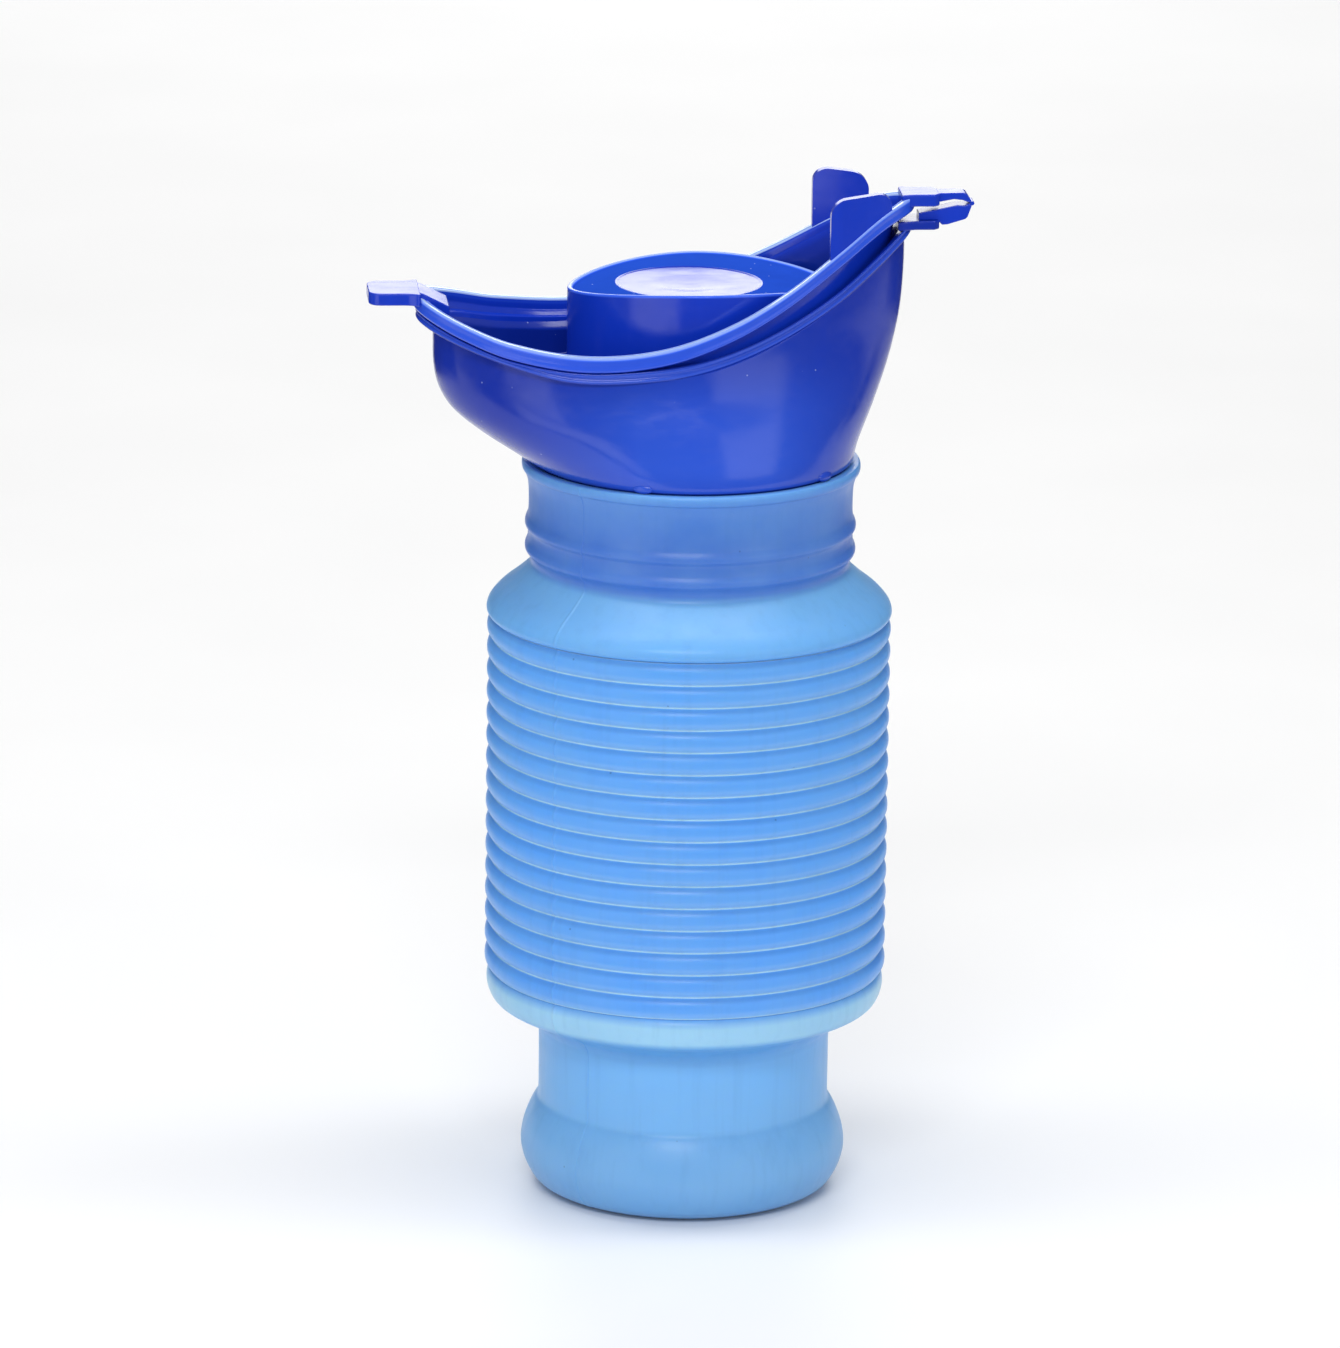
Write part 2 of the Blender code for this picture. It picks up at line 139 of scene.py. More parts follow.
HINGE_X = 58.5
HINGE_Z = 215.4
FINGER_HALF_WIDTH = 4.2
STRAP_HALF_WIDTH = 2.3
FINGER_END_X = 51.5
FINGER_NECK_X = 46.4
FINGER_CORNER = 1.0
FUNNEL_FINGER_ROOT_X = 42.6
LID_FINGER_ROOT_X = 43.4
UPPER_FINGER_Z = (215.1, 217.7)
LOWER_FINGER_Z = (210.1, 212.0)
WEB_R = 0.45
WEB_SIDES = 20

TAB_END_X = -68.8
TAB_HALF_WIDTH = 6.5
TAB_Z = (195.0, 197.6)
TAB_ROOT = ((-58.2, 195.2), (-58.2, 197.55), (-57.4, 197.3), (-51.8, 194.5), (-51.8, 192.6))
TAB_ROOT_HALF_WIDTH = 5.3
TAB_CORNER = 2.6
TAB_INNER_X = -58.0
TAB_FLARE = 1.1              # the tab widens by this on each side where it meets the rim

NEAR_EAR_X = (27.0, 40.8)
FAR_EAR_X = (26.6, 37.8)
EAR_TOP_Z = 219.4
EAR_THICKNESS = 2.3
EAR_CORNER = 3.4
EAR_ROOT_DEPTH = 2.4
EAR_COLUMNS = 36

LUG_ANGLES = (-112.0, -40.0, 32.0, 104.0, 176.0)
LUG_R = 34.25
LUG_Z = 161.3
LUG_HALF_SIZES = (0.75, 2.3, 1.05)

# (x, z) of the two edges, then (z, reach) of the funnel's wall at the tab end, hinge end and sides
LID_EDGE = ((-60, 197.2), (-50, 193.4), (-40, 190.5), (-24, 188.8), (-8, 190.4), (6, 194.9),
            (18, 201.0), (30, 208.8), (39, 214.6), (46, 217.2), (52, 217.7))
FLANGE_EDGE = ((-60, 191.6), (-50, 188.4), (-40, 185.6), (-28, 183.2), (-14, 183.4),
               (0, 185.1), (14, 189.6), (28, 196.6), (38, 203.6), (46, 209.6))
WALL_TAB_END = ((160.6, 34.3), (163.5, 38.8), (167.8, 45.6), (172.1, 51.0), (176.4, 53.7),
                (181.0, 54.8), (186.0, 55.0), (196.0, 55.0))
WALL_HINGE_END = ((160.6, 34.3), (164.5, 35.1), (173.3, 38.5), (182.0, 41.4), (192.0, 43.6),
                  (202.0, 44.4), (212.0, 44.4))
WALL_SIDE = ((160.6, 34.3), (164.0, 34.4), (172.0, 33.2), (182.0, 30.7), (196.0, 29.8),
             (212.0, 29.8))


# ---- curves ----------------------------------------------------------------------------------
def curve_through(knots):
    """A smooth function through the knots: cubic, with each slope taken from its neighbours."""
    slopes = []
    for i in range(len(knots)):
        low = knots[max(i - 1, 0)]
        high = knots[min(i + 1, len(knots) - 1)]
        slopes.append((high[1] - low[1]) / (high[0] - low[0]))

    def value(x):
        if x <= knots[0][0]:
            return knots[0][1]
        if x >= knots[-1][0]:
            return knots[-1][1]
        i = max(k for k in range(len(knots) - 1) if knots[k][0] <= x)
        (x0, y0), (x1, y1) = knots[i], knots[i + 1]
        span = x1 - x0
        s = (x - x0) / span
        return (y0 * (1 + 2 * s) * (1 - s) ** 2 + y1 * s * s * (3 - 2 * s)
                + span * s * (1 - s) * (slopes[i] * (1 - s) - slopes[i + 1] * s))

    return value


def spline(points, per_span=5):
    """Catmull-Rom curve through 2-D points, both ends included."""
    out = []
    last = len(points) - 1
    for i in range(last):
        p0 = points[max(i - 1, 0)]
        p1, p2 = points[i], points[i + 1]
        p3 = points[min(i + 2, last)]
        for step in range(per_span):
            s = step / per_span
            out.append(tuple(
                0.5 * (2 * p1[k] + (p2[k] - p0[k]) * s
                       + (2 * p0[k] - 5 * p1[k] + 4 * p2[k] - p3[k]) * s ** 2
                       + (3 * p1[k] - p0[k] - 3 * p2[k] + p3[k]) * s ** 3)
                for k in range(2)))
    out.append(tuple(points[-1]))
    return out


def softened(corners, steps=4):
    """Rounds a closed run of (point, radius): each corner with a radius becomes a small curve."""
    out = []
    count = len(corners)
    for i, (point, radius, *_) in enumerate(corners):
        here = Vector(point)
        if radius <= 0.0:
            out.append(here)
            continue
        before = Vector(corners[i - 1][0]) - here
        after = Vector(corners[(i + 1) % count][0]) - here
        start = here + before.normalized() * min(radius, 0.45 * before.length)
        end = here + after.normalized() * min(radius, 0.45 * after.length)
        for step in range(steps + 1):
            s = step / steps
            out.append(start * (1 - s) ** 2 + here * (2 * s * (1 - s)) + end * s ** 2)
    return out


def corner_tones(corners, steps=4):
    """The tone of every point that softened() makes: (point, radius, tone), no tone meaning 0."""
    out = []
    for _, radius, *tone in corners:
        out += [tone[0] if tone else 0.0] * (steps + 1 if radius > 0.0 else 1)
    return out


def smooth_step(value, low, high):
    """0 up to the low value, 1 from the high one, with a soft start and end between them."""
    s = min(max((value - low) / (high - low), 0.0), 1.0)
    return s * s * (3 - 2 * s)


def mixed(low, high, s):
    """The number a fraction s of the way from low to high."""
    return low + (high - low) * s


lid_edge = curve_through(LID_EDGE)
flange_edge = curve_through(FLANGE_EDGE)
wall_tab_end = curve_through(WALL_TAB_END)
wall_hinge_end = curve_through(WALL_HINGE_END)
wall_side = curve_through(WALL_SIDE)


# ---- mesh helpers ----------------------------------------------------------------------------
def finish(name, bm, material, body, replaces=(), sharp=40.0):
    """Turns a bmesh in millimetres into a piece that rides on a body."""
    bmesh.ops.remove_doubles(bm, verts=bm.verts, dist=1e-4)
    bmesh.ops.recalc_face_normals(bm, faces=bm.faces)
    for vert in bm.verts:
        vert.co *= MM
    mesh = bpy.data.meshes.new(name)
    bm.to_mesh(mesh)
    bm.free()
    mesh.shade_smooth()
    mesh.set_sharp_from_angle(angle=math.radians(sharp))
    obj = bpy.data.objects.new(name, mesh)
    bpy.context.collection.objects.link(obj)
    obj.data.materials.append(material)
    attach(obj, body)
    if replaces:
        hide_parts(*replaces)
    return obj


def round_angles():
    """Angles round the bottle, closer together at the two parting lines."""
    found = {math.tau * i / ROUND_STEPS for i in range(ROUND_STEPS)}
    for base in (SEAM_ANGLE, SEAM_ANGLE + math.pi):
        found = {a for a in found if abs(a - base) > 4 * SEAM_HALF_ANGLE}
        found |= {base + k * SEAM_HALF_ANGLE for k in (-3, -1, -0.4, 0.4, 1, 3)}
    return sorted(found)


def lathe(outline, tone=None):
    """A bmesh of a closed (radius, z) outline turned round Z, with faint mould parting lines."""
    bm = bmesh.new()
    layer = bm.verts.layers.float.new("tone") if tone else None
    rings = []
    for angle in round_angles():
        offsets = [abs(angle - SEAM_ANGLE - k * math.pi) for k in (0, 1)]
        ridge = SEAM_HEIGHT if min(offsets) < 0.6 * SEAM_HALF_ANGLE else 0.0
        ring = []
        for i, (r, z) in enumerate(outline):
            grow = ridge if r > 1.0 and z > 0.4 else 0.0
            vert = bm.verts.new(((r + grow) * math.cos(angle), (r + grow) * math.sin(angle), z))
            if layer:
                vert[layer] = tone[i]
            ring.append(vert)
        rings.append(ring)
    count = len(outline)
    for i, ring in enumerate(rings):
        following = rings[(i + 1) % len(rings)]
        for k in range(count):
            n = (k + 1) % count
            if outline[k][0] < 1e-6 and outline[n][0] < 1e-6:
                continue
            bm.faces.new((ring[k], ring[n], following[n], following[k]))
    return bm


def swept(sections):
    """A bmesh whose closed runs of corners follow each other round the axis, one per angle."""
    bm = bmesh.new()
    layer = bm.verts.layers.float.new("tone")
    tones = corner_tones(sections[0])
    rings = [[bm.verts.new(point) for point in softened(section)] for section in sections]
    for ring in rings:
        for vert, tone in zip(ring, tones):
            vert[layer] = tone
    count = len(rings[0])
    for i, ring in enumerate(rings):
        following = rings[(i + 1) % len(rings)]
        for k in range(count):
            n = (k + 1) % count
            bm.faces.new((ring[k], ring[n], following[n], following[k]))
    return bm


def slab(outline, axis, low, high):
    """A prism: the outline lies across the axis, in the order of the other two axes."""
    bm = bmesh.new()
    ends = []
    for level in (low, high):
        points = []
        for a, b in outline:
            point = [a, b]
            point.insert("xyz".index(axis), level)
            points.append(bm.verts.new(point))
        ends.append(points)
    bm.faces.new(ends[0])
    bm.faces.new(ends[1])
    for i in range(len(outline)):
        n = (i + 1) % len(outline)
        bm.faces.new((ends[0][i], ends[0][n], ends[1][n], ends[1][i]))
    return bm


def round_edges(obj, width, segments=3):
    """Rounds the sharp edges of a piece by this width."""
    bevel = obj.modifiers.new("rounded_edges", "BEVEL")
    bevel.width = width * MM
    bevel.segments = segments
    bevel.limit_method = "ANGLE"
    bevel.angle_limit = math.radians(35)
    bevel.harden_normals = True


def angles():
    """Angles of the sections round the funnel, the tray and the drum."""
    return [math.tau * i / OVAL_STEPS for i in range(OVAL_STEPS)]


# ---- materials -------------------------------------------------------------------------------
NOISE_ROUGHNESS = 0.55


class Nodes:
    """Short calls for building one material's node tree."""

    def __init__(self, name):
        self.material = bpy.data.materials.new(name)
        self.material.use_nodes = True
        self.tree = self.material.node_tree
        self.shader = self.tree.nodes["Principled BSDF"]
        self.place = self.add("ShaderNodeTexCoord").outputs["Object"]

    def add(self, kind, **settings):
        """A new node of this kind."""
        node = self.tree.nodes.new(kind)
        for key, value in settings.items():
            setattr(node, key, value)
        return node

    def link(self, output, socket):
        self.tree.links.new(output, socket)

    def noise(self, scale, detail, stretch=None):
        """Noise over the object, 0 to 1. A stretch below 1 draws it out along that axis."""
        place = self.place
        if stretch:
            mapping = self.add("ShaderNodeMapping")
            mapping.inputs["Scale"].default_value = stretch
            self.link(place, mapping.inputs["Vector"])
            place = mapping.outputs["Vector"]
        node = self.add("ShaderNodeTexNoise")
        node.inputs["Scale"].default_value = scale
        node.inputs["Detail"].default_value = detail
        node.inputs["Roughness"].default_value = NOISE_ROUGHNESS
        self.link(place, node.inputs["Vector"])
        return node.outputs["Fac"]

    def spread(self, value, low, high, to_low, to_high):
        """The value moved from one range to another, and held inside it."""
        node = self.add("ShaderNodeMapRange", clamp=True)
        for socket, number in zip(("From Min", "From Max", "To Min", "To Max"),
                                  (low, high, to_low, to_high)):
            node.inputs[socket].default_value = number
        self.link(value, node.inputs["Value"])
        return node.outputs["Result"]

    def maths(self, operation, a, b):
        node = self.add("ShaderNodeMath", operation=operation)
        for socket, value in zip(node.inputs, (a, b)):
            if isinstance(value, (int, float)):
                socket.default_value = value
            else:
                self.link(value, socket)
        return node.outputs["Value"]

    def ramp(self, value, stops):
        """The colour that the stops, given as (position, colour), have at this value."""
        node = self.add("ShaderNodeValToRGB")
        elements = node.color_ramp.elements
        while len(elements) > 1:
            elements.remove(elements[-1])
        elements[0].position = stops[0][0]
        elements[0].color = (*stops[0][1], 1.0)
        for position, colour in stops[1:]:
            elements.new(position).color = (*colour, 1.0)
        self.link(value, node.inputs["Fac"])
        return node.outputs["Color"]

    def mix(self, factor, a, b):
        """The colour a at factor 0 and b at factor 1."""
        node = self.add("ShaderNodeMix", data_type="RGBA")
        for socket, value in ((node.inputs[0], factor), (node.inputs[6], a), (node.inputs[7], b)):
            if isinstance(value, (int, float)):
                socket.default_value = value
            elif isinstance(value, tuple):
                socket.default_value = (*value, 1.0)
            else:
                self.link(value, socket)
        return node.outputs[2]

    def along(self, axis):
        """The coordinate along this axis, in metres."""
        axes = self.add("ShaderNodeSeparateXYZ")
        self.link(self.place, axes.inputs["Vector"])
        return axes.outputs[axis]

    def by_height(self, stops):
        """The colour at this height, from stops given as (z, colour)."""
        height = self.spread(self.along("Z"), 0.0, HEIGHT_SPAN * MM, 0.0, 1.0)
        return self.ramp(height, [(z / HEIGHT_SPAN, colour) for z, colour in stops])

    def near_middle(self, near, far):
        """1 within the near distance of the bottle's axis along X, and 0 beyond the far one."""
        off_axis = self.maths("ABSOLUTE", self.along("X"), 0.0)
        return self.spread(off_axis, near * MM, far * MM, 1.0, 0.0)

    def tone(self):
        """The tone that a mesh gives each of its points: above 0 a painted highlight, below 0 painted
        shade.
        """
        return self.add("ShaderNodeAttribute", attribute_name="tone").outputs["Fac"]

    def specks(self, scale, size, strength):
        """Sparse dots: the strength inside a dot, 0 elsewhere."""
        cells = self.add("ShaderNodeTexVoronoi", feature="F1")
        cells.inputs["Scale"].default_value = scale
        self.link(self.place, cells.inputs["Vector"])
        near = self.spread(cells.outputs["Distance"], size * 0.6, size, 1.0, 0.0)
        rare = self.add("ShaderNodeSeparateColor")
        self.link(cells.outputs["Color"], rare.inputs["Color"])
        chosen = self.spread(rare.outputs["Red"], 0.90, 0.91, 0.0, 1.0)
        return self.maths("MULTIPLY", self.maths("MULTIPLY", near, chosen), strength)

    def bump(self, heights, distance, strength):
        """Small unevenness of the surface, this many metres deep."""
        node = self.add("ShaderNodeBump")
        node.inputs["Distance"].default_value = distance
        node.inputs["Strength"].default_value = strength
        self.link(heights, node.inputs["Height"])
        self.link(node.outputs["Normal"], self.shader.inputs["Normal"])


BOTTLE_COLOUR_AND_SHADING = (
    (0.0, (0.140, 0.370, 0.720)), (9.0, (0.170, 0.410, 0.760)), (20.5, (0.180, 0.460, 0.880)),
    (34.5, (0.180, 0.480, 0.930)), (36.6, (0.120, 0.370, 0.800)), (41.0, (0.120, 0.370, 0.800)),
    (43.0, (0.330, 0.620, 0.900)), (46.5, (0.330, 0.620, 0.900)), (49.0, (0.098, 0.350, 0.940)),
    (124.0, (0.110, 0.380, 0.960)), (128.0, (0.150, 0.430, 0.880)), (136.5, (0.170, 0.460, 0.880)),
    (138.5, (0.060, 0.190, 0.660)), (147.5, (0.060, 0.180, 0.620)), (150.0, (0.065, 0.195, 0.640)),
    (158.0, (0.080, 0.240, 0.700)), (160.2, (0.130, 0.370, 0.800)),
)    # (z, colour) up the bottle: its milky blue, with painted shade on the neck under the lower shoulder, painted highlight on the shoulder's rounded edge and on the lip, and darker over the collar's ridges
FOLD_HIGHLIGHT = (0.62, 0.90, 1.0)       # painted highlight along a groove
FOLD_SHADE = (0.045, 0.135, 0.36)   # just below it
MILKY_CLOUD = (0.21, 0.43, 0.70)
MILKY_STREAK = (0.05, 0.15, 0.42)
MILKY_SPECK = (0.03, 0.08, 0.22)
EDGE_HIGHLIGHT_BLUE = (0.045, 0.150, 0.95)    # painted highlight on thin moulded edges, in blue
# painted highlight in white: along edges, and as glints on the grained top
HIGHLIGHT_WHITE = (0.64, 0.84, 1.0)
EDGE_HIGHLIGHT_BLUE_TONE = 0.4                # tones above this turn the painted highlight from blue to white
# painted shade on the inside of the lid's tray
INNER_SHADE = (0.004, 0.018, 0.22)
FUNNEL_BLUE = (0.006, 0.030, 0.40)
LID_BLUE = (0.006, 0.042, 0.56)
GRAINED_BLUE = (0.020, 0.085, 0.60)
GLOW_BLUE = (0.035, 0.13, 0.80)     # painted glow, standing in for light from the milky bottle that passes the funnel's lower wall
GLOW_BY_HEIGHT = ((160.0, 0.55), (166.0, 0.62), (176.0, 0.48), (186.0, 0.16), (200.0, 0.0))
GLOW_HALF_WIDTHS = (14.0, 42.0)     # the glow is full within the first and gone beyond the second
DUST = (0.45, 0.55, 0.85)


def soft_plastic(name, folds=False):
    """Milky blue film-like plastic: cloudy, faintly streaked down its length, satin, with painted
    shade and highlight bands up its height, and with folds a painted highlight along each groove and
    painted shade just below it.
    """
    n = Nodes(name)
    # the colour by height carries painted shade and painted highlight bands
    colour = n.by_height(BOTTLE_COLOUR_AND_SHADING)
    if folds:
        # painted highlight along each groove and painted shade just below it, from the mesh's tone
        tone = n.tone()
        colour = n.mix(n.spread(tone, 0.0, 1.0, 0.0, 1.0), colour, FOLD_HIGHLIGHT)
        colour = n.mix(n.spread(tone, -1.0, 0.0, 0.55, 0.0), colour, FOLD_SHADE)
    cloud = n.noise(55.0, 4.0)
    colour = n.mix(n.spread(cloud, 0.35, 0.70, 0.0, 0.22), colour, MILKY_CLOUD)
    streak = n.noise(420.0, 3.0, stretch=(1.0, 1.0, 0.06))
    colour = n.mix(n.spread(streak, 0.50, 0.75, 0.0, 0.10), colour, MILKY_STREAK)
    colour = n.mix(n.specks(260.0, 0.075, 0.45), colour, MILKY_SPECK)
    n.link(colour, n.shader.inputs["Base Color"])
    n.link(n.spread(n.noise(180.0, 4.0), 0.3, 0.7, 0.30, 0.42), n.shader.inputs["Roughness"])
    n.bump(n.noise(900.0, 4.0), 0.00004, 0.6)
    n.shader.inputs["IOR"].default_value = 1.5
    n.shader.inputs["Specular IOR Level"].default_value = 0.35
    n.shader.inputs["Subsurface Weight"].default_value = 0.25
    n.shader.inputs["Subsurface Radius"].default_value = (0.6, 1.2, 2.4)
    n.shader.inputs["Subsurface Scale"].default_value = 0.0012
    return n.material


def gloss_plastic(name, colour, glows=False, grain=0.0):
    """Polished injection-moulded plastic: flow marks, fine scratches and a few dust specks, with
    painted highlight and painted shade from the mesh's tone, a painted glow if it glows, and painted
    glints if grained.
    """
    n = Nodes(name)
    darker = tuple(0.72 * c for c in colour)
    lighter = tuple(1.5 * c for c in colour)
    shade = n.mix(n.spread(n.noise(38.0, 3.0), 0.35, 0.70, 0.0, 0.35), colour, darker)
    # painted glow: lighter low on the funnel and near its middle
    if glows:
        glow = n.add("ShaderNodeRGBToBW")
        n.link(n.by_height([(z, (v, v, v)) for z, v in GLOW_BY_HEIGHT]), glow.inputs[0])
        fade = n.near_middle(*GLOW_HALF_WIDTHS)
        shade = n.mix(n.maths("MULTIPLY", glow.outputs[0], fade), shade, GLOW_BLUE)
    flow = n.noise(150.0, 3.0, stretch=(1.0, 1.0, 0.18))
    shade = n.mix(n.spread(flow, 0.52, 0.78, 0.0, 0.16), shade, lighter)
    # the mesh's tone paints highlights on edges, blue then white, and shade inside the tray
    tone = n.tone()
    shade = n.mix(n.spread(tone, 0.0, EDGE_HIGHLIGHT_BLUE_TONE, 0.0, 1.0), shade, EDGE_HIGHLIGHT_BLUE)
    shade = n.mix(n.spread(tone, EDGE_HIGHLIGHT_BLUE_TONE, 1.0, 0.0, 1.0), shade, HIGHLIGHT_WHITE)
    shade = n.mix(n.spread(tone, -1.0, 0.0, 1.0, 0.0), shade, INNER_SHADE)
    shade = n.mix(n.specks(330.0, 0.07, 0.5), shade, DUST)
    # painted glints: dense tiny white specks on the grained top
    if grain:
        shade = n.mix(n.specks(900.0, 0.16, 0.7), shade, HIGHLIGHT_WHITE)
    n.link(shade, n.shader.inputs["Base Color"])
    scuff = n.noise(620.0, 5.0, stretch=(0.35, 1.0, 1.0))
    n.link(n.spread(scuff, 0.4, 0.75, 0.15 + grain, 0.27 + grain), n.shader.inputs["Roughness"])
    ripple = n.maths("MULTIPLY", n.noise(70.0, 1.0), 0.5)
    heights = n.maths("ADD", ripple, n.maths("MULTIPLY", n.noise(2600.0, 2.0), 0.04 + grain))
    n.bump(heights, 0.00006, 0.4)
    n.shader.inputs["IOR"].default_value = 1.49
    return n.material


BOTTLE = soft_plastic("milky_blue_plastic")
BELLOWS = soft_plastic("milky_blue_folds", folds=True)
FUNNEL = gloss_plastic("funnel_blue_plastic", FUNNEL_BLUE, glows=True)
LID = gloss_plastic("lid_blue_plastic", LID_BLUE)
GRAINED = gloss_plastic("drum_top_blue_plastic", GRAINED_BLUE, grain=0.30)
GRAINED.node_tree.nodes["Principled BSDF"].inputs["Specular IOR Level"].default_value = 0.0


# ---- bottle ----------------------------------------------------------------------------------
def build_foot():
    """Foot, lower neck and lower shoulder in one shell, with a shallow recess underneath."""
    heel = spline([(24.5, 0.0), (28.4, 0.25), (31.6, 1.7), (33.4, 4.3), (34.4, 6.9), (34.8, 9.6),
                   (34.3, 13.0), (33.2, 16.1), (32.2, 18.1), (31.6, 19.0)], 4)
    neck = spline([(31.6, 19.0), (31.25, 19.7), (31.1, 21.2), (31.1, 27.0), (31.15, 34.4),
                   (31.5, 36.0)], 3)
    shoulder = spline([(31.5, 36.0), (32.7, 37.8), (35.8, 39.6), (38.9, 40.8), (41.0, 42.0),
                       (42.0, 43.6), (42.45, 45.3), (42.4, 46.8), (41.95, 47.9), (41.35, 48.4)], 4)
    outside = heel[:-1] + neck[:-1] + shoulder
    inside = [(r - BOTTLE_WALL, z) for r, z in reversed(outside) if z > INSIDE_LOW_Z]
    floor = [(27.0, 1.5), (20.5, 1.9), (0.0, 1.9)]
    recess = [(0.0, 0.9), (19.5, 0.9), (21.5, 0.7), (23.2, 0.1)]
    bm = lathe(recess + outside + inside + floor)
    finish("foot_shell", bm, BOTTLE, "base", ("bottle_foot",))


def fold_profile():
    """Outer run of the bellows, with a tone for each point: painted highlight at a groove, painted
    shade just below it.
    """
    pitch = (BELLOWS_HIGH_Z - BELLOWS_LOW_Z) / FOLDS
    low, high = BELLOWS_LOW_Z - 0.05, BELLOWS_HIGH_Z + 0.08
    points, tones = [], []
    for fold in range(FOLDS):
        for step in range(FOLD_POINTS + (fold == FOLDS - 1)):
            s = 0.5 - 0.5 * math.cos(math.pi * step / FOLD_POINTS)
            fullness = 1 - abs(2 * s - 1) ** FOLD_FULLNESS
            z = min(max(BELLOWS_LOW_Z + (fold + s) * pitch, low), high)
            points.append((mixed(ROOT_R, CREST_R, fullness), z))
            # line: painted highlight along the groove; strip: painted lighter band just above it;
            # dark: painted shade just below the next groove
            line = max(1 - s / 0.07, 1 - (1 - s) / 0.03, 0.0)
            strip = 0.30 * max(1 - s / 0.40, 0.0)
            dark = 0.40 * max(1 - abs(s - 0.86) / 0.12, 0.0)
            tones.append(line + (1 - line) * (strip - dark))
    return points, tones


def build_bellows():
    """The folding wall, which stands on the lower shoulder."""
    outside, tones = fold_profile()
    inside = [(r - BELLOWS_WALL, z) for r, z in reversed(outside)]
    bm = lathe(outside + inside, tone=tones + [0.0] * len(inside))
    wall = finish("bellows_wall", bm, BELLOWS, "base", ("bellows",), sharp=70.0)
    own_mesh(wall)


def build_collar():
    """Upper shoulder, two snap ridges and the collar's rolled lip in one shell."""
    shoulder = spline([(41.4, 126.25), (42.4, 126.4), (43.0, 127.1), (43.05, 128.0),
                       (42.5, 129.3), (40.7, 131.3), (37.9, 133.5), (35.6, 135.5),
                       (34.2, 136.9), (33.85, 137.7)], 4)
    ridges = spline([(33.85, 137.7), (33.9, 138.7), (34.3, 139.7), (34.95, 140.5), (35.1, 141.2),
                     (34.95, 141.9), (34.55, 142.9), (34.45, 144.4), (34.6, 145.2),
                     (35.05, 145.9), (35.1, 146.6), (34.9, 147.3), (34.5, 148.3), (34.35, 150.2),
                     (34.4, 153.6), (34.6, 155.6), (35.0, 157.0), (35.3, 157.9)], 4)
    lip = spline([(35.3, 157.9), (35.75, 158.3), (35.9, 159.1), (35.75, 159.9), (35.3, 160.2),
                  (34.0, 160.2), (33.4, 160.0), (33.3, 159.4)], 4)
    inside = [(33.3, 140.5), (32.7, 138.0), (33.0, 137.0), (34.6, 135.1), (39.6, 130.7),
              (41.4, 129.0), (41.9, 128.0), (41.6, 127.2), (40.4, 126.25)]
    bm = lathe(shoulder[:-1] + ridges[:-1] + lip + inside)
    finish("collar_shell", bm, BOTTLE, "collar", ("bottle_collar",))


# ---- funnel ----------------------------------------------------------------------------------
def hinge_end_width(angle, taper):
    """How much narrower the ovals are towards the hinge end, as a factor."""
    return 1 - taper * (0.5 + 0.5 * math.cos(angle)) ** 3


def rim_point(angle, inset=0.0):
    """A point of the rim oval in plan, moved in by the inset."""
    return (RIM_CENTRE_X + (RIM_HALF_LENGTH - inset) * math.cos(angle),
            (RIM_HALF_WIDTH * hinge_end_width(angle, HINGE_END_TAPER) - inset) * math.sin(angle))


def wall_point(angle, z, inset=0.0):
    """A point of the funnel's outer wall at this height, moved in by the inset."""
    reach = wall_hinge_end(z) if math.cos(angle) > 0 else wall_tab_end(z)
    width = hinge_end_width(angle, HINGE_END_TAPER * smooth_step(z, 160.0, 192.0))
    return ((reach - inset) * math.cos(angle), (wall_side(z) * width - inset) * math.sin(angle), z)


def wall_top(angle, height, inset=0.0):
    """The point where the funnel's wall meets a surface whose height depends on x."""
    z = height(rim_point(angle)[0])
    for _ in range(6):
        z = height(wall_point(angle, z, inset)[0])
    return wall_point(angle, z, inset)


def rim_under(x):
    """Height of the underside of the lid's rim."""
    return lid_edge(x) - RIM_HEIGHT


def flange_top(x):
    """Height of the top of the funnel's flange, which stays clear of the lid."""
    return min(flange_edge(x) + FLANGE_HEIGHT, rim_under(x) - GAP)


def on_rim(angle, inset, height, drop=0.0):
    """A point of the rim oval on a surface whose height depends on x, lowered by the drop."""
    x, y = rim_point(angle, inset)
    return (x, y, height(x) - drop)


